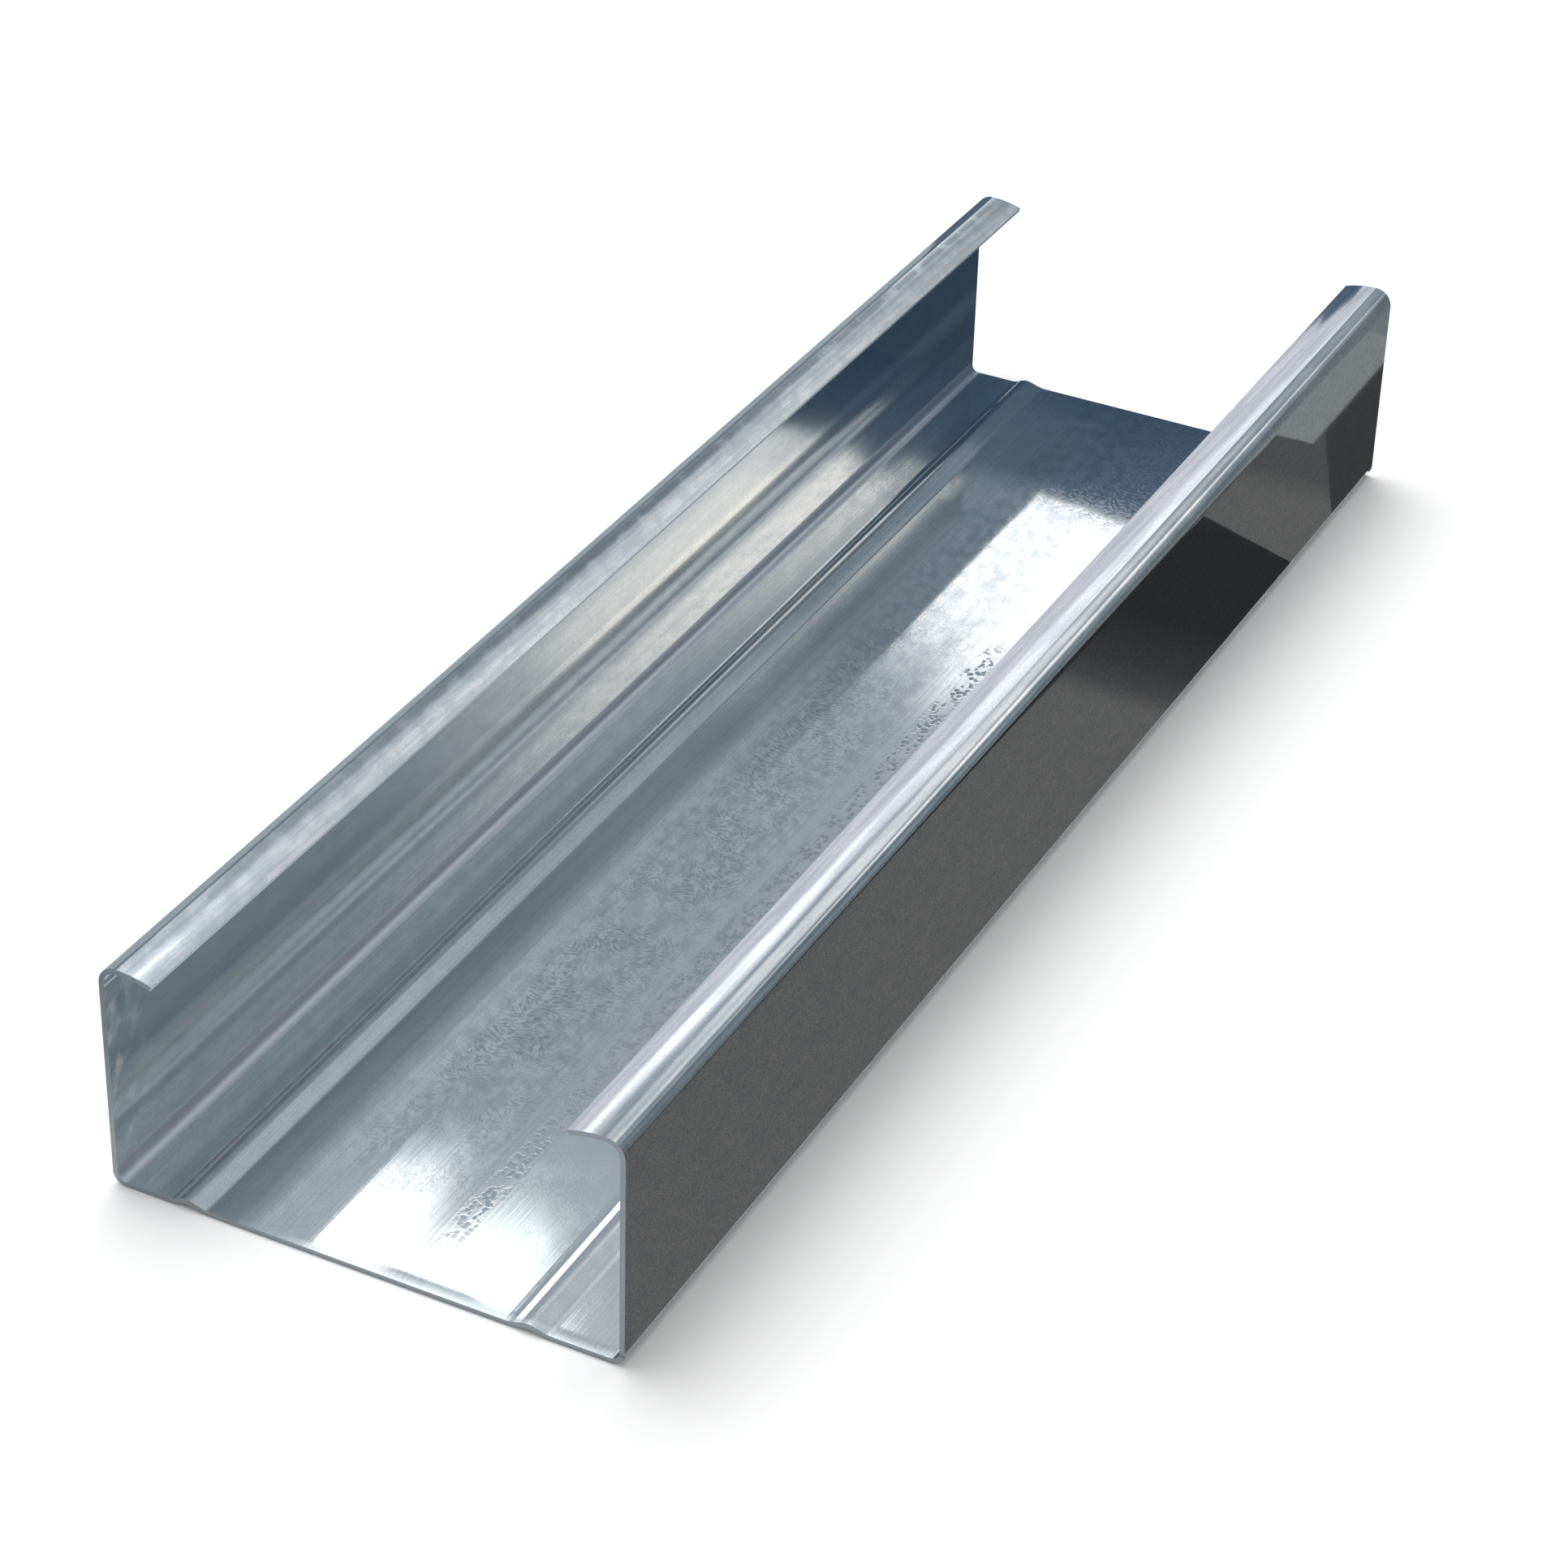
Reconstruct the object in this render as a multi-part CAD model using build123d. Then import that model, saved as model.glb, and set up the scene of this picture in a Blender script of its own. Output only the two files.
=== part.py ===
from build123d import *
from math import asin, cos, degrees, radians, sin, tan
import os

# A short length of roll-formed, lipped C section in zinc-coated sheet steel, lying on its web.
# The section is one strip of sheet bent along its length: a flat web with two stiffening ribs,
# two upright flanges, and a small lip curled inward along the top of each flange.
# The ribs are low rounded ridges; the left one is sharper and stands nearer to its flange than the
# right one does, as in the photo.
# Dimensions are in millimetres and degrees. X runs across the web, Y along the length and Z up.
# The origin is on the underside of the web, in the middle.

# Overall size
length = 260.0
web_width = 75.0
flange_height = 34.5
wall = 0.75

# Bends, measured on the outside of the sheet
web_bend_radius = 2.0
lip_bend_radius = 2.8

# Lips: the width is from the flange's outer face to the free edge
lip_width = 8.0
lip_crown_radius = 16.0

# Ribs pressed up into the web, one beside each flange, measured on the underside of the sheet
left_rib_from_flange = 11.2
left_rib_height = 0.75
left_rib_flange_slope = 28.0
left_rib_web_slope = 16.0
left_rib_crest_radius = 1.8
left_rib_foot_radius = 3.0
right_rib_from_flange = 13.6
right_rib_height = 0.65
right_rib_flange_slope = 17.0
right_rib_web_slope = 17.0
right_rib_crest_radius = 3.0
right_rib_foot_radius = 5.0


def half_skin(from_flange, height, flange_slope, web_slope, crest_radius, foot_radius):
    """The outer skin of the section's right half, from mid web over the rib to the lip's free edge."""
    half_web = web_width / 2
    half_turn = radians((flange_slope + web_slope) / 2)
    lean = radians((flange_slope - web_slope) / 2)
    top_z = height + crest_radius * (cos(lean) / cos(half_turn) - 1)
    top_x = half_web - from_flange + crest_radius * sin(lean) / cos(half_turn)
    web_foot = top_x - top_z / tan(radians(web_slope))
    flange_foot = top_x + top_z / tan(radians(flange_slope))
    bend_x = half_web - lip_bend_radius
    bend_z = flange_height - lip_bend_radius
    crown_angle = degrees(asin((lip_width - lip_bend_radius) / lip_crown_radius))
    web_and_flange = FilletPolyline(
        (0, 0),
        (web_foot, 0),
        (top_x, top_z),
        (flange_foot, 0),
        (half_web, 0),
        (half_web, bend_z),
        radius=[foot_radius, crest_radius, foot_radius, web_bend_radius],
    )
    lip_bend = CenterArc((bend_x, bend_z), lip_bend_radius, 0, 90)
    lip = CenterArc((bend_x, flange_height - lip_crown_radius), lip_crown_radius, 90, crown_angle)
    return web_and_flange.edges() + lip_bend.edges() + lip.edges()


def section():
    """The closed section, drawn with X across and the local Y up."""
    right = half_skin(
        right_rib_from_flange,
        right_rib_height,
        right_rib_flange_slope,
        right_rib_web_slope,
        right_rib_crest_radius,
        right_rib_foot_radius,
    )
    left_seen_mirrored = half_skin(
        left_rib_from_flange,
        left_rib_height,
        left_rib_flange_slope,
        left_rib_web_slope,
        left_rib_crest_radius,
        left_rib_foot_radius,
    )
    left = [edge.mirror(Plane.YZ) for edge in left_seen_mirrored]
    skin = Wire(list(right) + left)
    return make_face(offset(skin, amount=wall, side=Side.LEFT).edges())


def c_purlin():
    """The whole piece: the section run along Y, with square-cut ends."""
    return extrude(Plane.XZ * section(), amount=length / 2, both=True)


part = c_purlin()
part.label = "c_purlin"
os.makedirs("parts", exist_ok=True)
export_step(part, "parts/c_purlin.step")
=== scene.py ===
"""Looks for a short length of lipped C section in zinc-coated sheet steel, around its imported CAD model."""
import math

import bpy
from mathutils import Matrix, Vector


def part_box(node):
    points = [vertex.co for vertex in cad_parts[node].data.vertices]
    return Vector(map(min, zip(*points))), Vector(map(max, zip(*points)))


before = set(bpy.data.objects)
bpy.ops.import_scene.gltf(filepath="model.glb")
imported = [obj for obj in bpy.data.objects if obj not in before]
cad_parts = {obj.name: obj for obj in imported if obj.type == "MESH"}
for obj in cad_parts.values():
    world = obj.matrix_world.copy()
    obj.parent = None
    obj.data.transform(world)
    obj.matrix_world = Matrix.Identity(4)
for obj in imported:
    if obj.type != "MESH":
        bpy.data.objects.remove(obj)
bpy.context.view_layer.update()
MM = 0.001

# The section in millimetres: half its width, half its length and its height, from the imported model
HALF_WEB, HALF_LENGTH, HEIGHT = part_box("c_purlin")[1] / MM
SHEET = 0.75

# Camera, fitted to the photograph, in millimetres
CAMERA_PLACE = Vector((225.2, -473.0, 338.4))
CAMERA_AIM = Vector((6.27, -27.29, 17.0))
CAMERA_ROLL = math.radians(1.77)
CAMERA_LENS = 96.3

# Light: the world's two strengths, and one soft box above the left, in millimetres and watts
WORLD_AS_LIGHT = 0.6
WORLD_AS_SEEN = 1.0
KEY_PLACE = (-300, 200, 1200)
KEY_AIM = (0, 0, 0)
KEY_SIZE = 900
KEY_POWER = 12

# The floor's size in metres, its grey and its roughness
FLOOR_SIZE = 8
FLOOR_WHITE = 0.93
FLOOR_ROUGHNESS = 0.9

# The brightest tone that a glowing ramp can hold: its stops are stored as shares of it
GLOW_RANGE = 2.0


def share_of_glow(colour):
    """A colour as a share of the brightest glow."""
    return (*[part / GLOW_RANGE for part in colour], 1)


class Tree:
    """Short ways to add shader nodes to one material or world."""

    def __init__(self, owner):
        owner.use_nodes = True
        self.nodes = owner.node_tree.nodes
        self.links = owner.node_tree.links

    def add(self, kind, **settings):
        node = self.nodes.new(kind)
        for name, value in settings.items():
            setattr(node, name, value)
        return node

    def feed(self, socket, value):
        """Links a node's output to a socket, or writes a constant into it."""
        if isinstance(value, bpy.types.NodeSocket):
            self.links.new(value, socket)
        else:
            socket.default_value = value

    def math(self, operation, *values):
        node = self.add("ShaderNodeMath", operation=operation)
        for socket, value in zip(node.inputs, values):
            self.feed(socket, value)
        return node.outputs[0]

    def times(self, first, *others):
        """The product of two or more values."""
        for other in others:
            first = self.math("MULTIPLY", first, other)
        return first

    def plus(self, first, *others):
        """The sum of two or more values."""
        for other in others:
            first = self.math("ADD", first, other)
        return first

    def most(self, first, *others):
        """The largest of two or more values."""
        for other in others:
            first = self.math("MAXIMUM", first, other)
        return first

    def parts(self, vector):
        """The x, y and z of a vector."""
        node = self.add("ShaderNodeSeparateXYZ")
        self.links.new(vector, node.inputs[0])
        return node.outputs

    def step(self, value, low, high, start=0.0, end=1.0, kind="SMOOTHSTEP"):
        """A change from start to end as the value goes from low to high."""
        node = self.add("ShaderNodeMapRange", interpolation_type=kind)
        given = {"Value": value, "From Min": low, "From Max": high, "To Min": start, "To Max": end}
        for name, setting in given.items():
            self.feed(node.inputs[name], setting)
        return node.outputs[0]

    def below(self, value, low, high, share=1.0):
        """The share below low, and zero above high."""
        return self.step(value, low, high, share, 0.0)

    def between(self, value, low, high, softness):
        """One inside a range, zero outside it, with soft borders."""
        rise = self.step(value, low - softness, low + softness)
        fall = self.below(value, high - softness, high + softness)
        return self.times(rise, fall)

    def mix(self, share, first, second):
        node = self.add("ShaderNodeMix", data_type="RGBA")
        self.feed(node.inputs["Factor"], share)
        self.feed(node.inputs["A"], first)
        self.feed(node.inputs["B"], second)
        return node.outputs["Result"]

    def ramp(self, value, tones):
        """Colours by a value, from (value, colour) pairs, each as a share of the brightest glow."""
        low, high = tones[0][0], tones[-1][0]
        share = self.step(value, low, high, kind="LINEAR")
        node = self.add("ShaderNodeValToRGB")
        stops = node.color_ramp.elements
        while len(stops) < len(tones):
            stops.new(1.0)
        for stop, (level, colour) in zip(stops, tones):
            stop.position = (level - low) / (high - low)
            stop.color = share_of_glow(colour)
        self.links.new(share, node.inputs[0])
        return node.outputs[0]


def make_camera():
    """The camera at the photograph's place, with its small roll."""
    data = bpy.data.cameras.new("camera")
    data.lens = CAMERA_LENS
    data.clip_start = 0.01
    data.clip_end = 100
    camera = bpy.data.objects.new("camera", data)
    bpy.context.scene.collection.objects.link(camera)
    aim = (CAMERA_AIM - CAMERA_PLACE).to_track_quat("-Z", "Y").to_matrix()
    turn = aim @ Matrix.Rotation(CAMERA_ROLL, 3, "Z")
    camera.matrix_world = Matrix.Translation(CAMERA_PLACE * MM) @ turn.to_4x4()
    bpy.context.scene.camera = camera


def make_background(tree, strength):
    """A white background of one strength."""
    node = tree.add("ShaderNodeBackground")
    node.inputs["Color"].default_value = (1, 1, 1, 1)
    node.inputs["Strength"].default_value = strength
    return node.outputs[0]


def make_world():
    """White behind the object, in what it mirrors and behind glass; a softer white as light."""
    world = bpy.data.worlds.new("studio")
    bpy.context.scene.world = world
    tree = Tree(world)
    tree.nodes.clear()
    output = tree.add("ShaderNodeOutputWorld")
    mix = tree.add("ShaderNodeMixShader")
    path = tree.add("ShaderNodeLightPath").outputs
    seen = tree.most(path["Is Camera Ray"], path["Is Glossy Ray"], path["Is Transmission Ray"])
    tree.links.new(seen, mix.inputs[0])
    tree.links.new(make_background(tree, WORLD_AS_LIGHT), mix.inputs[1])
    tree.links.new(make_background(tree, WORLD_AS_SEEN), mix.inputs[2])
    tree.links.new(mix.outputs[0], output.inputs["Surface"])


def make_floor():
    """A plain pale floor."""
    bpy.ops.mesh.primitive_plane_add(size=FLOOR_SIZE, location=(0, 0, 0))
    floor = bpy.context.object
    floor.name = "floor"
    material = bpy.data.materials.new("floor_white")
    material.use_nodes = True
    shader = material.node_tree.nodes["Principled BSDF"]
    shader.inputs["Base Color"].default_value = (FLOOR_WHITE, FLOOR_WHITE, FLOOR_WHITE, 1)
    shader.inputs["Roughness"].default_value = FLOOR_ROUGHNESS
    floor.data.materials.append(material)


def make_lamp(name, place, aim, size, power):
    """A square soft box that looks at a point."""
    data = bpy.data.lights.new(name, "AREA")
    data.size = size * MM
    data.energy = power
    lamp = bpy.data.objects.new(name, data)
    bpy.context.scene.collection.objects.link(lamp)
    turn = (Vector(aim) - Vector(place)).to_track_quat("-Z", "Y").to_matrix().to_4x4()
    lamp.matrix_world = Matrix.Translation(Vector(place) * MM) @ turn


# What the metal mirrors far away: a dome, with its tones by elevation in degrees and its radius in metres
DOME_RADIUS = 40.0
DOME_SEGMENTS = 96
DOME_RINGS = 64
SKY = [
    (-90, (0.2, 0.21, 0.22)),
    (0, (0.3, 0.36, 0.4)),
    (28, (0.33, 0.39, 0.42)),
    (33, (0.46, 0.5, 0.53)),
    (38, (0.55, 0.59, 0.62)),
    (60, (0.61, 0.64, 0.66)),
    (90, (0.9, 0.92, 0.94)),
]
# Panels on the dome, in degrees: name, azimuths from +Y towards +X, elevations, softness of both, colour
PANELS = [
    ("lilac_left", (-100, -21), (-5, 26), 4, 4, (0.88, 0.88, 0.95)),
    ("blue_left", (-100, -22), (30, 39), 4, 2, (0.4, 0.455, 0.505)),
    ("cream_back", (-19, 24), (34.5, 45), 8, 2.5, (1.14, 1.14, 1.11)),
    ("blue_right", (25, 60), (31.5, 60), 4, 1.2, (0.34, 0.41, 0.455)),
    ("lip_line", (-42, -31), (25.6, 31), 1, 0.8, (1.8, 1.8, 1.83)),
    ("lip_line_far", (-31, -25.5), (24, 29.4), 1, 0.8, (1.5, 1.5, 1.53)),
    ("white_left", (-25.5, -18), (24, 31.5), 1, 0.6, (1.55, 1.55, 1.57)),
    ("white_near_left", (-38, -30), (39.05, 50), 0.25, 0.35, (2.1, 2.1, 2.1)),
    ("warm_right", (21, 33), (23, 30.7), 3, 1.6, (1.5, 1.43, 1.35)),
    ("grey_low_right", (28.5, 33), (18, 22.3), 0.8, 0.8, (0.6, 0.63, 0.64)),
    ("dim_far_right", (34, 42), (15, 28), 1, 1.2, (0.2, 0.25, 0.29)),
    ("grey_right", (45, 150), (-5, 75), 4, 6, (0.13, 0.14, 0.155)),
]

# What it mirrors close by, in millimetres. A navy wall past the far end, with its top edge as (x, z) places
WALL_Y = 180.0
WALL_TOP = 52.5
WALL_SIDE = 450.0
WALL_EDGE = [
    (50, 47),
    (27, 47),
    (12, 50.5),
    (8, 57),
    (-3, 57),
    (-4, 53),
    (-22, 53),
    (-24, WALL_TOP),
    (-WALL_SIDE, WALL_TOP),
]
WALL_TONES = [(0, (0.04, 0.07, 0.11)), (25, (0.05, 0.09, 0.14)), (WALL_TOP, (0.11, 0.165, 0.235))]
WALL_PALE = (0.2, 0.23, 0.24)
# A grey board beside the left flange, with its tones by height
SIDE_BOARD_X = -50.0
SIDE_BOARD_START = -160.0
SIDE_BOARD_TOP = 58.0
SIDE_BOARD_TONES = [
    (0, (0.34, 0.4, 0.43)),
    (44, (0.32, 0.39, 0.43)),
    (48, (0.18, 0.23, 0.27)),
    (SIDE_BOARD_TOP, (0.2, 0.25, 0.29)),
]
# Cards that carry the left lip on past the far end and lie close under it, with their tones along Y
LIP_CARD_END = HALF_LENGTH + 8.0
LIP_CARD_INNER_X = -29.5
LIP_CARD_DROP = 0.5
PAST_LIP_TONES = [
    (LIP_CARD_END, (0.24, 0.3, 0.36)),
    (149, (0.22, 0.28, 0.34)),
    (156, (0.1, 0.15, 0.2)),
    (WALL_Y, (0.09, 0.14, 0.19)),
]
UNDER_LIP_OUTER = (-HALF_WEB + SHEET + 0.02, HEIGHT - 3.4)
UNDER_LIP_INNER = (-28.75, HEIGHT - 2.0)
UNDER_LIP_TONES = [
    (-59, (0.47, 0.53, 0.58)),
    (-9, (0.41, 0.46, 0.51)),
    (31, (0.37, 0.43, 0.48)),
    (61, (0.29, 0.36, 0.41)),
    (86, (0.22, 0.28, 0.33)),
    (HALF_LENGTH, (0.22, 0.28, 0.34)),
]
# Boards on the floor beside the right flange and past the far end, in layers a little above one another
FLOOR_GREY = (0.15, 0.147, 0.145)
FLOOR_BLACK = (0.03, 0.031, 0.035)
FLOOR_NAVY = (0.05, 0.08, 0.115)
FLOOR_PALE = (0.27, 0.285, 0.29)
FLOOR_DIM = (0.055, 0.056, 0.06)
FLOOR_TONES = [
    (-420, FLOOR_GREY),
    (41, FLOOR_GREY),
    (46, (0.085, 0.084, 0.085)),
    (53, (0.055, 0.055, 0.058)),
    (68, FLOOR_BLACK),
    (109, FLOOR_BLACK),
    (111, FLOOR_GREY),
    (116, FLOOR_GREY),
    (124, (0.1, 0.1, 0.1)),
    (WALL_Y, (0.1, 0.1, 0.1)),
]
FLOOR_BOARD_X = HALF_WEB + 0.2
FLOOR_BOARD_SIDE = 700.0
FLOOR_BOARD_Z = 0.3
FLOOR_BOARD_STEP = 0.1
PAST_END_GAP = 0.5
FAR_GREY = [(FLOOR_BOARD_X, 95), (68, 107), (68, 112), (FLOOR_BOARD_X, 112)]
DIM_CORNER = [(FLOOR_BOARD_X, 112), (50, 141), (50, WALL_Y), (FLOOR_BOARD_X, WALL_Y)]
PALE_CORNER = (50.0, 135.0)


def only_in_reflections(card):
    """A card that throws no light or shade and that the camera doesn't see."""
    card.visible_camera = False
    card.visible_diffuse = False
    card.visible_transmission = False
    card.visible_volume_scatter = False
    card.visible_shadow = False


def glow_tree(name):
    """A material that only glows; returns it, its tree and the glow's node."""
    material = bpy.data.materials.new(name)
    tree = Tree(material)
    tree.nodes.clear()
    output = tree.add("ShaderNodeOutputMaterial")
    emission = tree.add("ShaderNodeEmission")
    tree.links.new(emission.outputs[0], output.inputs["Surface"])
    return material, tree, emission


def glow(name, colour):
    """A plain glowing colour."""
    material, _, emission = glow_tree(name)
    emission.inputs["Color"].default_value = (*colour, 1)
    return material


def glow_along(name, axis, tones):
    """A glow whose colour changes along one axis, from (place in mm, colour) pairs."""
    material, tree, emission = glow_tree(name)
    emission.inputs["Strength"].default_value = GLOW_RANGE
    place = tree.parts(tree.add("ShaderNodeTexCoord").outputs["Object"])
    colour = tree.ramp(tree.math("DIVIDE", place[axis], MM), tones)
    tree.links.new(colour, emission.inputs["Color"])
    return material


def dome_colour(tree):
    """The dome's colour by azimuth and elevation, with its panels."""
    x, y, z = tree.parts(tree.add("ShaderNodeTexCoord").outputs["Object"])
    azimuth = tree.math("DEGREES", tree.math("ARCTAN2", x, y))
    away = tree.math("SQRT", tree.plus(tree.times(x, x), tree.times(y, y)))
    elevation = tree.math("DEGREES", tree.math("ARCTAN2", z, away))
    colour = tree.ramp(elevation, SKY)
    for _, azimuths, elevations, side_softness, end_softness, tone in PANELS:
        across = tree.between(azimuth, *azimuths, side_softness)
        up = tree.between(elevation, *elevations, end_softness)
        colour = tree.mix(tree.times(across, up), colour, share_of_glow(tone))
    return colour


def make_dome():
    """The far surroundings."""
    material, tree, emission = glow_tree("surroundings")
    emission.inputs["Strength"].default_value = GLOW_RANGE
    tree.links.new(dome_colour(tree), emission.inputs["Color"])
    bpy.ops.mesh.primitive_uv_sphere_add(radius=DOME_RADIUS, segments=DOME_SEGMENTS, ring_count=DOME_RINGS)
    dome = bpy.context.object
    dome.name = "dome"
    dome.data.materials.append(material)
    only_in_reflections(dome)


def make_card(name, corners, material):
    """A flat card through its corners, in millimetres."""
    mesh = bpy.data.meshes.new(name)
    mesh.from_pydata([Vector(corner) * MM for corner in corners], [], [range(len(corners))])
    mesh.materials.append(material)
    card = bpy.data.objects.new(name, mesh)
    bpy.context.scene.collection.objects.link(card)
    only_in_reflections(card)


def make_upright(name, start, end, top, material):
    """A board that stands on the floor from one (x, y) place to another."""
    make_card(name, [(*start, 0), (*end, 0), (*end, top), (*start, top)], material)


def make_level(name, across, along, z, material):
    """A level board over a range of x and a range of y."""
    corners = [(across[0], along[0]), (across[1], along[0]), (across[1], along[1]), (across[0], along[1])]
    make_card(name, [(x, y, z) for x, y in corners], material)


def make_wall_and_side():
    """The wall past the far end, and the board beside the left flange with its return to the wall."""
    navy = glow_along("wall_navy", "Z", WALL_TONES)
    turn = WALL_EDGE[0][0]
    top_edge = [(x, WALL_Y, z) for x, z in WALL_EDGE]
    make_card("wall_board", [(-WALL_SIDE, WALL_Y, 0), (turn, WALL_Y, 0)] + top_edge, navy)
    pale = glow("wall_pale", WALL_PALE)
    make_upright("wall_board_right", (turn, WALL_Y), (WALL_SIDE, WALL_Y), WALL_TOP, pale)
    grey = glow_along("side_grey", "Z", SIDE_BOARD_TONES)
    near, far = (SIDE_BOARD_X, SIDE_BOARD_START), (SIDE_BOARD_X, HALF_LENGTH)
    make_upright("side_board", near, far, SIDE_BOARD_TOP, grey)
    make_upright("wall_return", far, (SIDE_BOARD_X, WALL_Y), WALL_TOP, navy)


def make_lip_cards():
    """What the left flange and the web mirror of the left lip: its lit underside, carried on past the end."""
    past_lip = glow_along("past_lip", "Y", PAST_LIP_TONES)
    across, along = (SIDE_BOARD_X, LIP_CARD_INNER_X), (LIP_CARD_END, WALL_Y)
    make_level("lip_carried_on", across, along, HEIGHT - LIP_CARD_DROP, past_lip)
    (outer_x, outer_z), (inner_x, inner_z) = UNDER_LIP_OUTER, UNDER_LIP_INNER
    near, far = -HALF_LENGTH, LIP_CARD_END
    near_end = [(outer_x, near, outer_z), (inner_x, near, inner_z)]
    far_end = [(inner_x, far, inner_z), (outer_x, far, outer_z)]
    make_card("under_left_lip", near_end + far_end, glow_along("under_lip_light", "Y", UNDER_LIP_TONES))


def make_floor_boards():
    """Boards on the floor: the right flange mirrors those beside it, the left one that past the end."""
    low = FLOOR_BOARD_Z
    middle = low + FLOOR_BOARD_STEP
    high = middle + FLOOR_BOARD_STEP
    beside, side = FLOOR_BOARD_X, FLOOR_BOARD_SIDE
    start, past_end = FLOOR_TONES[0][0], HALF_LENGTH + PAST_END_GAP
    grey = glow_along("floor_grey", "Y", FLOOR_TONES)
    make_level("floor_board", (beside, side), (start, WALL_Y), low, grey)
    make_card("floor_board_far", [(x, y, middle) for x, y in FAR_GREY], glow("floor_far", FLOOR_GREY))
    make_card("floor_board_dim", [(x, y, middle) for x, y in DIM_CORNER], glow("floor_dim", FLOOR_DIM))
    x, y = PALE_CORNER
    make_level("floor_board_pale", (x, side), (y, WALL_Y), high, glow("floor_pale", FLOOR_PALE))
    navy = glow("floor_navy", FLOOR_NAVY)
    make_level("floor_board_past_end", (-beside, beside), (past_end, WALL_Y), low, navy)


# Zinc coating: tones
ZINC_LIGHT = (0.775, 0.785, 0.79)
ZINC_FERN = (0.33, 0.39, 0.44)
# Lighter under the lips: painted bounce light, on a dull underside
ZINC_UNDER_LIP_PAINTED_LIGHT = (0.85, 0.86, 0.86)
ZINC_SMOOTH = (0.69, 0.75, 0.75)
ZINC_PIT = (0.2, 0.24, 0.27)
ZINC_CUT = (0.3, 0.33, 0.35)
# A lighter lilac tone in the crease at the left flange's foot: a painted highlight
ZINC_CREASE_HIGHLIGHT = (0.8, 0.8, 0.85)
ZINC_LIP = (0.68, 0.69, 0.72)
# Pale patches at the left flange's near end: painted glints
ZINC_NEAR_GLINT = (0.97, 0.94, 0.93)
# Painted highlight colour
ZINC_PAINTED_HIGHLIGHT = (0.95, 0.94, 0.92)

# Patterns: width and length of a stroke in millimetres, its turn away from the Y axis, and its detail.
# Levels are where the noise starts to count and where it counts in full.
ROLLING = (0.45, 60.0, 0.0, 1.0)
BLOTCHES = (3.0, 5.0, -0.4, 4.0)
WAVES = (9.0, 40.0, 0.0, 0.0)
GRAIN = (0.25, 0.8, math.radians(-35), 1.0)
GRAIN_LEVELS = (0.45, 0.6)
WEB_BLOTCHES = (2.2, 3.4, -0.4, 4.0)
WEB_BLOTCH_LEVELS = (0.42, 0.62)
LIP_STREAKS = (1.1, 22.0, 0.02, 4.0)
LIP_STREAK_LEVELS = (0.42, 0.6)
NEAR_GLINT_PATCHES = (5.0, 3.0, 0.4, 3.0)
NEAR_GLINT_LEVELS = (0.42, 0.75)
EDGE_WAVES = (14.0, 60.0, 0.0, 0.0)
EDGE_WAVE_LEVELS = (0.35, 0.65)
STROKE_SIZE = (0.4, 1.3)
STROKE_DETAIL = 2.0
STROKE_LEVELS = (0.47, 0.62)
CRYSTAL_SIZE = 3.2
CRYSTAL_TURNS = (math.radians(20), math.radians(160))
FERN_PATCHES = (9.0, 12.0, 0.3, 4.0)
FERN_PATCH_LEVELS = (0.38, 0.6)
PIT_SPACING = 0.9
PIT_RADII = (0.3, 0.62)
PIT_PATCHES = (1.6, 3.0, 0.0, 1.0)
PIT_PATCH_LEVELS = (0.42, 0.54)

# Borders of the sheet's regions in millimetres, each from where a change starts to where it ends
WEB_Z = (1.3, 2.2)
UNDER_LIPS_Z = (31.0, 33.0)
LIPS_Z = (31.0, 32.5)
LEFT_LIP_X = (-30.0, -28.0)
LEFT_HALF_X = (-22.0, -14.0)
LEFT_FLANGE_X = (-36.2, -35.6)
RIGHT_OUTSIDE_X = (HALF_WEB - 0.5, HALF_WEB - 0.2)
CREASE_X = (-35.6, -34.8)
CREASE_Z = (2.4, 3.2)
# Nearer to the middle than this, what stands above the web is laid flat by less than its height
FOLD_X = 20.0
# Borders for the way a face looks, as parts of its normal
FACING_IN = (0.0, 0.4)
FACING_UP = (0.3, 0.6)
FACING_DOWN = (-0.3, -0.1)
FACING_ALONG = (0.6, 0.8)

# Zones of the coating, in millimetres across the web (X), along the piece (Y) and up a flange (Z). A pair is
# a border, three numbers are a range and the softness of its ends, and a single number is a strength.
MOTTLE_LEVELS = (0.4, 0.62)
MOTTLE = 0.13
WEB_BLOTCH_X = (-15.0, 2.5, 2.5)
WEB_BLOTCH = 0.3
NEAR_END_Y = (-122.0, -100.0)
FERN_X = (-13.0, 8.4, 2.5)
FERN_FADES_X = (-2.0, 5.0)
FERN_FADES_TO = 0.2
FERN_ENDS_Y = (30.0, 60.0)
FERN_AT_ENDS = 0.1
FERN_BETWEEN_PATCHES = 0.3
FERN_ELSEWHERE = 0.12
FERN = 0.75
GRAIN_SHARE = 0.13
GRAIN_MORE_OUTSIDE = 0.2
LIP_STREAK = 0.4
ROLLING_LEVELS = (0.42, 0.62)
ROLLING_SHARE = 0.15
SMOOTH_START_X = (8.2, 8.6)
SMOOTH_END_X = (20.0, 22.0)
PITS_X = (5.0, 8.2, 0.5)
PITS_Y = (-118.0, 45.0, 6.0)
# Where the painted glints lie, inside the left flange's near end
NEAR_GLINT_X = (-36.3, -35.9)
NEAR_GLINT_Y = (-129.0, -119.0)

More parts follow.
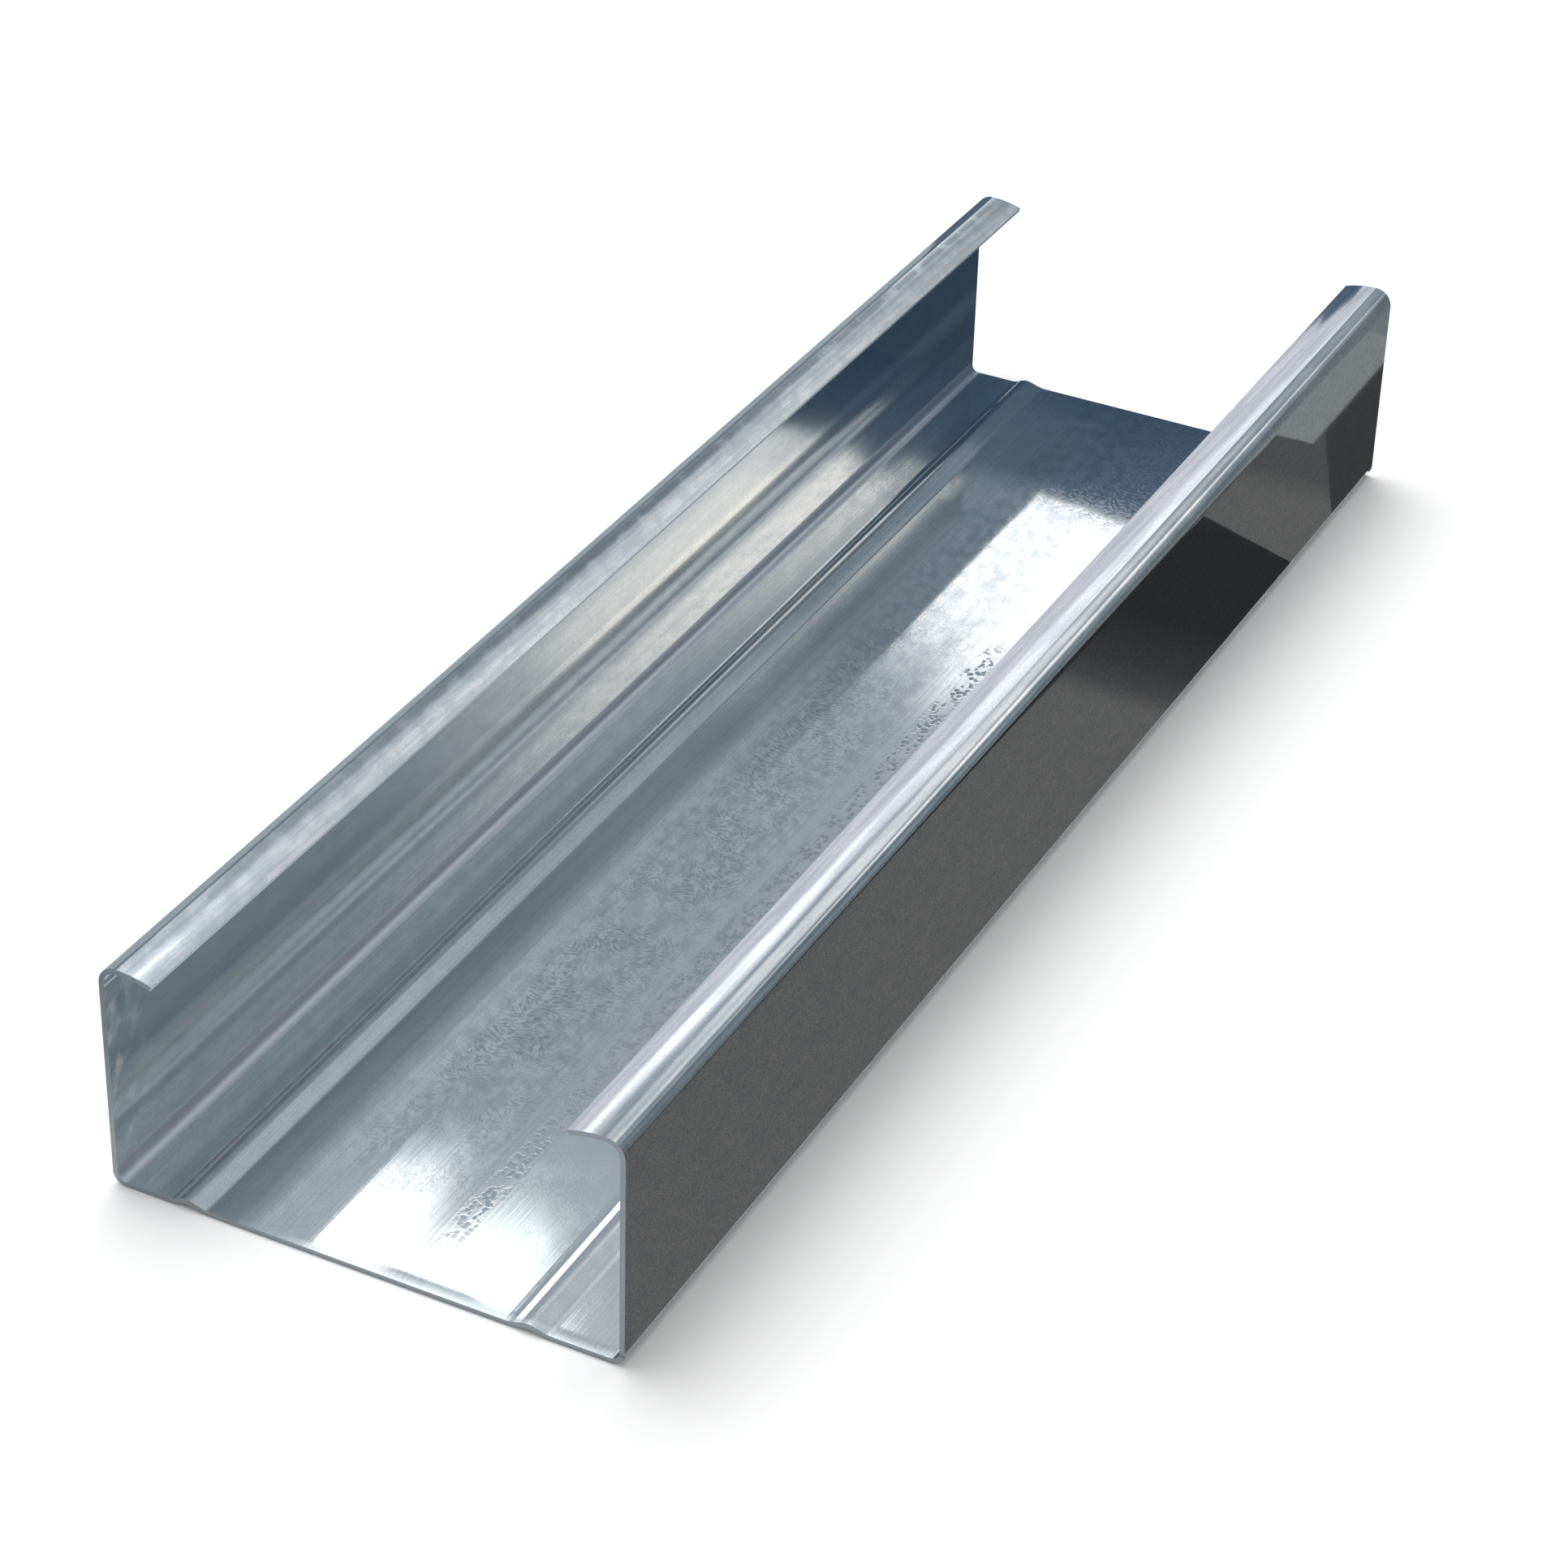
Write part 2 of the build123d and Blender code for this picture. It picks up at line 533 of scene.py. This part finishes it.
# Painted shade that dims the coating where it stands in for dark reflections, and darker blotches and strokes
LOW_PAINTED_SHADE_Z = (8.3, 12.8, 0.7)
LOW_PAINTED_SHADE = 0.45
HIGH_PAINTED_SHADE_Z = (17.3, 28.5, 0.6)
HIGH_PAINTED_SHADE = 0.5
RIB_PAINTED_SHADE_X = (-23.6, -18.8, 0.6)
RIB_PAINTED_SHADE_ENDS_Y = (-60.0, -10.0)
RIB_PAINTED_SHADE = 0.35
NEAR_PAINTED_SHADE_X = (-9.5, -3.0, 1.5)
NEAR_PAINTED_SHADE_Y = (-110.0, -90.0, 8.0)
NEAR_PAINTED_SHADE = 0.5
LIP_SHADE_BLOTCH_X = (-35.1, -34.6)
LIP_SHADE_BLOTCH_LEVELS = (0.4, 0.6)
LIP_SHADE_BLOTCH = (0.05, 0.4)
OUTSIDE_FILM = 0.28

# Painted highlights, lighter places that stand in for bright reflections, and a broken dark line along the
# left lip
WEB_HIGHLIGHT_X = (-24.0, -16.5, 0.7)
WEB_HIGHLIGHT_Y = (10.0, 80.0, 10.0)
FLANGE_HIGHLIGHT_Z = (14.2, 16.4, 0.5)
FLANGE_HIGHLIGHT = 0.55
LIP_HIGHLIGHT_X = (-35.3, -34.9)
LIP_HIGHLIGHT = 0.8
SEAM_X = (-34.4, -33.1, 0.4)
SEAM_Y = (-90.0, 20.0)
SEAM_ALONG = (0.4, 0.95)
SEAM_LEVELS = (0.3, 0.5)
SEAM_BREAKS = (0.55, 1.0)

# Roughness of the plain coating, what is added to it, and what it is at least in dull places
BRIGHT = 0.045
FLANGE_BLOTCH_LEVELS = (0.42, 0.7)
FLANGE_BLOTCH_Z = (1.3, 3.0)
FLANGE_BLOTCH = 0.02
FAR_SPANGLE_X = (-14.0, 4.0)
FAR_SPANGLE_Y = (86.0, 96.0)
FAR_SPANGLE = 0.11
LEFT_HALF_ROUGHER = 0.05
GRAIN_ROUGHER = 0.02
FERN_ROUGHER = 0.02
LIPS_ROUGHER = 0.05
LEFT_LIP_ROUGHER = 0.07
CREASE_ROUGHNESS = 0.4
NEAR_GLINT_ROUGHNESS = 0.35
PIT_ROUGHNESS = 0.3
UNDER_LIP_ROUGHNESS = 0.55
NEAR_EDGE_Y = (-129.7, -127.5)
NEAR_EDGE_ROUGHNESS = 0.16
CUT_ROUGHNESS = 0.5

# Waves too low to be modelled, which only steer the reflections, in millimetres
WAVE_HEIGHT = 0.022
ROLLING_HEIGHT = 0.001
PIT_HEIGHT = -0.0025
WEB_BOW_X = (-22.0, 4.0)
WEB_BOW_HEIGHT = 0.3
LEFT_RIB_X = (-26.2, -23.1)
LEFT_RIB_HEIGHT = -0.25
RIGHT_RIB_X = (20.5, 23.9)
RIGHT_RIB_HEIGHT = -0.35
ROLLED_EDGE_Y = (-129.8, -127.7)
ROLLED_EDGE_X = (-12.0, -4.0)
ROLLED_EDGE_HEIGHT = 0.022
ROLLED_EDGE_SHARES = (0.4, 1.0)
LEANING_FLANGE_X = (-36.0, -35.0)
LEANING_FLANGE_Z = (2.0, 32.0)
FLANGE_LEAN = -0.78


def stretched_noise(tree, place, width, length, angle, detail):
    """Noise in strokes of a given width and length; the angle turns them away from the Y axis."""
    turn = tree.add("ShaderNodeVectorRotate", rotation_type="Z_AXIS")
    tree.links.new(place, turn.inputs["Vector"])
    tree.feed(turn.inputs["Angle"], angle)
    size = tree.add("ShaderNodeVectorMath", operation="DIVIDE")
    tree.links.new(turn.outputs[0], size.inputs[0])
    size.inputs[1].default_value = (width, length, 1)
    noise = tree.add("ShaderNodeTexNoise", noise_dimensions="2D")
    noise.inputs["Scale"].default_value = 1.0
    noise.inputs["Detail"].default_value = detail
    tree.links.new(size.outputs[0], noise.inputs["Vector"])
    return noise.outputs["Fac"]


def pattern(tree, place, strokes, levels, shares=(0.0, 1.0)):
    """Stretched noise between two levels, as a value that goes from the first share to the second."""
    return tree.step(stretched_noise(tree, place, *strokes), *levels, *shares)


def cells(tree, place, size):
    """Random cells of a given size: the outputs of their node."""
    node = tree.add("ShaderNodeTexVoronoi", voronoi_dimensions="2D")
    node.inputs["Scale"].default_value = 1 / size
    tree.links.new(place, node.inputs["Vector"])
    return node.outputs


class Sheet:
    """Places on the rolled sheet in millimetres, and a mask for each of its regions."""

    def __init__(self, tree):
        source = tree.add("ShaderNodeTexCoord").outputs
        x, y, z = [tree.math("DIVIDE", part, MM) for part in tree.parts(source["Object"])]
        facing_x, facing_y, facing_z = tree.parts(source["Normal"])
        lips = tree.step(z, *LIPS_Z)
        self.x, self.y, self.z = x, y, z
        self.flat = self.laid_flat(tree)
        self.on_web = tree.below(z, *WEB_Z)
        self.facing_in = tree.step(tree.plus(facing_x, facing_z), *FACING_IN)
        self.inside = tree.times(tree.below(z, *UNDER_LIPS_Z), self.facing_in)
        self.left_flange = tree.times(tree.below(x, *LEFT_FLANGE_X), self.facing_in)
        self.left_half = tree.times(tree.below(x, *LEFT_HALF_X), self.inside)
        self.under_lip = tree.times(tree.below(facing_z, *FACING_DOWN), lips)
        self.on_lip = tree.times(tree.step(facing_z, *FACING_UP), lips)
        self.left_lip = tree.times(self.on_lip, tree.below(x, *LEFT_LIP_X))
        self.outer_right = tree.step(x, *RIGHT_OUTSIDE_X)
        self.cut = tree.step(tree.math("ABSOLUTE", facing_y), *FACING_ALONG)

    def laid_flat(self, tree):
        """The place on the sheet as if its flanges were folded down."""
        side = tree.math("MINIMUM", tree.math("DIVIDE", self.x, FOLD_X), 1.0)
        side = tree.math("MAXIMUM", side, -1.0)
        join = tree.add("ShaderNodeCombineXYZ")
        tree.links.new(tree.plus(self.x, tree.times(self.z, side)), join.inputs["X"])
        tree.links.new(self.y, join.inputs["Y"])
        return join.outputs[0]


class Zinc:
    """The patterns of the coating, as values from zero to one."""

    def __init__(self, tree, sheet):
        self.blotches = stretched_noise(tree, sheet.flat, *BLOTCHES)
        self.rolling = stretched_noise(tree, sheet.flat, *ROLLING)
        self.grain = pattern(tree, sheet.flat, GRAIN, GRAIN_LEVELS)
        self.strokes = self.make_strokes(tree, sheet)
        self.fern = self.make_fern(tree, sheet)
        self.pits = self.make_pits(tree, sheet)
        self.crease = self.make_crease(tree, sheet)
        self.near_glints = self.make_near_glints(tree, sheet)

    def make_strokes(self, tree, sheet):
        """Short strokes that lie another way in each crystal."""
        split = tree.add("ShaderNodeSeparateColor")
        tree.links.new(cells(tree, sheet.flat, CRYSTAL_SIZE)["Color"], split.inputs[0])
        first, last = CRYSTAL_TURNS
        turn = tree.math("MULTIPLY_ADD", split.outputs[0], last - first, first)
        return pattern(tree, sheet.flat, (*STROKE_SIZE, turn, STROKE_DETAIL), STROKE_LEVELS)

    def make_fern(self, tree, sheet):
        """Strokes like fern leaves, strong in the middle of the web and faint elsewhere."""
        across = tree.between(sheet.x, *FERN_X)
        right = tree.step(sheet.x, *FERN_FADES_X, 1.0, FERN_FADES_TO)
        far_end = tree.step(sheet.y, *FERN_ENDS_Y, 1.0, FERN_AT_ENDS)
        near_end = tree.step(sheet.y, *NEAR_END_Y, FERN_AT_ENDS, 1.0)
        patches = pattern(tree, sheet.flat, FERN_PATCHES, FERN_PATCH_LEVELS, (FERN_BETWEEN_PATCHES, 1.0))
        zone = tree.times(across, right, far_end, near_end, sheet.on_web, patches)
        return tree.times(self.strokes, tree.most(zone, FERN_ELSEWHERE))

    def make_pits(self, tree, sheet):
        """Small dark pits in a line along the web."""
        dots = tree.below(cells(tree, sheet.flat, PIT_SPACING)["Distance"], *PIT_RADII)
        patches = pattern(tree, sheet.flat, PIT_PATCHES, PIT_PATCH_LEVELS)
        return tree.times(dots, patches, tree.between(sheet.x, *PITS_X), tree.between(sheet.y, *PITS_Y))

    def make_crease(self, tree, sheet):
        """The inside of the bend at the left flange's foot."""
        return tree.times(tree.below(sheet.x, *CREASE_X), tree.below(sheet.z, *CREASE_Z), sheet.facing_in)

    def make_near_glints(self, tree, sheet):
        """Painted glints: pale patches inside the left flange's near end that stand in for reflections of the
        web's cut end.
        """
        patches = pattern(tree, sheet.flat, NEAR_GLINT_PATCHES, NEAR_GLINT_LEVELS)
        return tree.times(patches, tree.below(sheet.y, *NEAR_GLINT_Y), tree.below(sheet.x, *NEAR_GLINT_X), sheet.inside)


def zinc_painted_shade_and_dark_marks(tree, sheet, zinc):
    """Painted shade and darker marks: how much each place is darkened. Bands up the left flange and places on
    the web stand in for dark reflections; the left lip has darker blotches, the right flange's outside darker
    strokes.
    """
    # Painted shade: darker bands up the left flange that stand in for its dark reflections
    low = tree.times(tree.between(sheet.z, *LOW_PAINTED_SHADE_Z), LOW_PAINTED_SHADE)
    high = tree.times(tree.between(sheet.z, *HIGH_PAINTED_SHADE_Z), HIGH_PAINTED_SHADE)
    on_flange = tree.times(tree.plus(low, high), sheet.left_flange)
    # Painted shade: a darker band on the web beside the left rib, towards the near end, that dims a
    # reflection there
    beside_rib = tree.between(sheet.x, *RIB_PAINTED_SHADE_X)
    beside_rib = tree.times(beside_rib, tree.below(sheet.y, *RIB_PAINTED_SHADE_ENDS_Y, RIB_PAINTED_SHADE))
    # Painted shade: a darker patch on the web close to the near end, which trims the bright reflection there
    near_end = tree.between(sheet.x, *NEAR_PAINTED_SHADE_X)
    near_end = tree.times(near_end, tree.between(sheet.y, *NEAR_PAINTED_SHADE_Y), NEAR_PAINTED_SHADE)
    on_web = tree.times(tree.most(beside_rib, near_end), sheet.on_web)
    # Darker blotches on the left lip's flat part: part mottled tone, part painted shade for its darker
    # reflections
    blotched = tree.step(zinc.blotches, *LIP_SHADE_BLOTCH_LEVELS, *LIP_SHADE_BLOTCH)
    on_lip = tree.times(sheet.left_lip, tree.step(sheet.x, *LIP_SHADE_BLOTCH_X), blotched)
    on_outside = tree.times(sheet.outer_right, zinc.strokes, OUTSIDE_FILM)
    return tree.most(on_flange, on_web, on_lip, on_outside)


def zinc_painted_highlights(tree, sheet):
    """Painted highlights: lighter places that stand in for bright reflections."""
    # Painted highlight: a lighter strip on the web right of the left rib, towards the far end
    web_strip = tree.times(tree.between(sheet.x, *WEB_HIGHLIGHT_X), tree.between(sheet.y, *WEB_HIGHLIGHT_Y))
    web_strip = tree.times(web_strip, sheet.on_web)
    # Painted reflection: a lighter line along the left flange, where it mirrors the web's rib
    flange_strip = tree.times(tree.between(sheet.z, *FLANGE_HIGHLIGHT_Z), sheet.left_flange, FLANGE_HIGHLIGHT)
    # Painted highlight: the left lip's bend lighter than its flat part
    lip_bend = tree.times(sheet.left_lip, tree.below(sheet.x, *LIP_HIGHLIGHT_X, LIP_HIGHLIGHT))
    return tree.most(web_strip, flange_strip, lip_bend)


def zinc_mottle(tree, sheet, zinc):
    """Soft darker blotches everywhere, and stronger ones on the web."""
    everywhere = tree.times(tree.step(zinc.blotches, *MOTTLE_LEVELS), MOTTLE)
    blotches = pattern(tree, sheet.flat, WEB_BLOTCHES, WEB_BLOTCH_LEVELS)
    zone = tree.times(tree.between(sheet.x, *WEB_BLOTCH_X), tree.step(sheet.y, *NEAR_END_Y, 0.0, WEB_BLOTCH))
    return tree.plus(everywhere, tree.times(blotches, zone, sheet.on_web))


def zinc_seam(tree, sheet, zinc):
    """A broken dark line along the left lip."""
    line = tree.times(tree.between(sheet.x, *SEAM_X), tree.step(sheet.y, *SEAM_Y, *SEAM_ALONG))
    return tree.times(line, sheet.on_lip, tree.step(zinc.blotches, *SEAM_LEVELS, *SEAM_BREAKS))


def zinc_colour(tree, sheet, zinc):
    """The coating's colour: each layer covers part of those before it."""
    streaks = pattern(tree, sheet.flat, LIP_STREAKS, LIP_STREAK_LEVELS, (0.0, LIP_STREAK))
    grain_share = tree.math("MULTIPLY_ADD", sheet.outer_right, GRAIN_MORE_OUTSIDE, GRAIN_SHARE)
    smooth = tree.times(tree.step(sheet.x, *SMOOTH_START_X), tree.below(sheet.x, *SMOOTH_END_X), sheet.on_web)
    layers = [
        (zinc_mottle(tree, sheet, zinc), ZINC_FERN),
        (sheet.on_lip, ZINC_LIP),
        (tree.times(sheet.on_lip, streaks), ZINC_FERN),
        (tree.times(zinc.fern, FERN), ZINC_FERN),
        (tree.times(zinc.grain, grain_share), ZINC_FERN),
        # Painted shade, with darker blotches and strokes
        (zinc_painted_shade_and_dark_marks(tree, sheet, zinc), ZINC_FERN),
        # Painted highlights
        (zinc_painted_highlights(tree, sheet), ZINC_PAINTED_HIGHLIGHT),
        (zinc_seam(tree, sheet, zinc), ZINC_PIT),
        (tree.step(zinc.rolling, *ROLLING_LEVELS, 0.0, ROLLING_SHARE), ZINC_FERN),
        (smooth, ZINC_SMOOTH),
        # Painted highlight in the crease
        (zinc.crease, ZINC_CREASE_HIGHLIGHT),
        # Painted glints at the left flange's near end
        (zinc.near_glints, ZINC_NEAR_GLINT),
        (zinc.pits, ZINC_PIT),
        # Painted bounce light under the lips
        (sheet.under_lip, ZINC_UNDER_LIP_PAINTED_LIGHT),
        (sheet.cut, ZINC_CUT),
    ]
    colour = (*ZINC_LIGHT, 1)
    for share, tone in layers:
        colour = tree.mix(share, colour, (*tone, 1))
    return colour


def zinc_roughness(tree, sheet, zinc):
    """The coating's roughness: small amounts added up, and dull places where it is at least so much."""
    blotches = tree.step(zinc.blotches, *FLANGE_BLOTCH_LEVELS)
    blotches = tree.times(blotches, tree.below(sheet.z, *FLANGE_BLOTCH_Z, FLANGE_BLOTCH))
    far_spangle = tree.times(zinc.strokes, sheet.on_web, tree.step(sheet.x, *FAR_SPANGLE_X))
    far_spangle = tree.times(far_spangle, tree.step(sheet.y, *FAR_SPANGLE_Y, 0.0, FAR_SPANGLE))
    rough = tree.plus(blotches, far_spangle, BRIGHT)
    rougher = [
        (sheet.left_half, LEFT_HALF_ROUGHER),
        (zinc.grain, GRAIN_ROUGHER),
        (zinc.fern, FERN_ROUGHER),
        (sheet.on_lip, LIPS_ROUGHER),
        (sheet.left_lip, LEFT_LIP_ROUGHER),
    ]
    for place, amount in rougher:
        rough = tree.math("MULTIPLY_ADD", place, amount, rough)
    dull = [
        (zinc.crease, CREASE_ROUGHNESS),
        (zinc.near_glints, NEAR_GLINT_ROUGHNESS),
        (zinc.pits, PIT_ROUGHNESS),
        (sheet.under_lip, UNDER_LIP_ROUGHNESS),
        (tree.times(tree.below(sheet.y, *NEAR_EDGE_Y), sheet.on_web), NEAR_EDGE_ROUGHNESS),
        (sheet.cut, CUT_ROUGHNESS),
    ]
    return tree.most(rough, *[tree.times(place, amount) for place, amount in dull])


def zinc_height(tree, sheet, zinc):
    """Low waves in the sheet: fine ones, the web's bow, the ribs, the near edge and the flange's lean."""
    waves = tree.times(stretched_noise(tree, sheet.flat, *WAVES), WAVE_HEIGHT)
    rolling = tree.times(zinc.rolling, ROLLING_HEIGHT)
    pits = tree.times(zinc.pits, PIT_HEIGHT)
    bow = tree.below(sheet.x, *WEB_BOW_X, WEB_BOW_HEIGHT)
    left_rib = tree.below(sheet.x, *LEFT_RIB_X, LEFT_RIB_HEIGHT)
    right_rib = tree.step(sheet.x, *RIGHT_RIB_X, 0.0, RIGHT_RIB_HEIGHT)
    uneven = pattern(tree, sheet.flat, EDGE_WAVES, EDGE_WAVE_LEVELS, ROLLED_EDGE_SHARES)
    rolled = tree.below(sheet.y, *ROLLED_EDGE_Y, ROLLED_EDGE_HEIGHT)
    near_edge = tree.times(rolled, tree.step(sheet.x, *ROLLED_EDGE_X), uneven)
    web = tree.times(tree.plus(bow, left_rib, right_rib, near_edge), sheet.on_web)
    flange = tree.times(tree.below(sheet.x, *LEANING_FLANGE_X), sheet.inside)
    lean = tree.times(flange, tree.step(sheet.z, *LEANING_FLANGE_Z, 0.0, FLANGE_LEAN, "LINEAR"))
    return tree.plus(waves, rolling, pits, web, lean)


def make_zinc():
    """Hot-dip zinc on rolled sheet: fern-like crystals on the web, rolling streaks, pits and cut edges."""
    material = bpy.data.materials.new("zinc_coated_steel")
    tree = Tree(material)
    shader = tree.nodes["Principled BSDF"]
    shader.inputs["Metallic"].default_value = 1.0
    sheet = Sheet(tree)
    zinc = Zinc(tree, sheet)
    tree.links.new(zinc_colour(tree, sheet, zinc), shader.inputs["Base Color"])
    tree.links.new(zinc_roughness(tree, sheet, zinc), shader.inputs["Roughness"])
    bump = tree.add("ShaderNodeBump")
    bump.inputs["Strength"].default_value = 1.0
    bump.inputs["Distance"].default_value = MM
    tree.links.new(zinc_height(tree, sheet, zinc), bump.inputs["Height"])
    tree.links.new(bump.outputs[0], shader.inputs["Normal"])
    return material


bpy.context.scene.view_settings.view_transform = "Standard"
make_camera()
make_world()
make_floor()
make_dome()
make_wall_and_side()
make_lip_cards()
make_floor_boards()
make_lamp("key", KEY_PLACE, KEY_AIM, KEY_SIZE, KEY_POWER)

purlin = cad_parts["c_purlin"]
purlin.data.materials.clear()
purlin.data.materials.append(make_zinc())
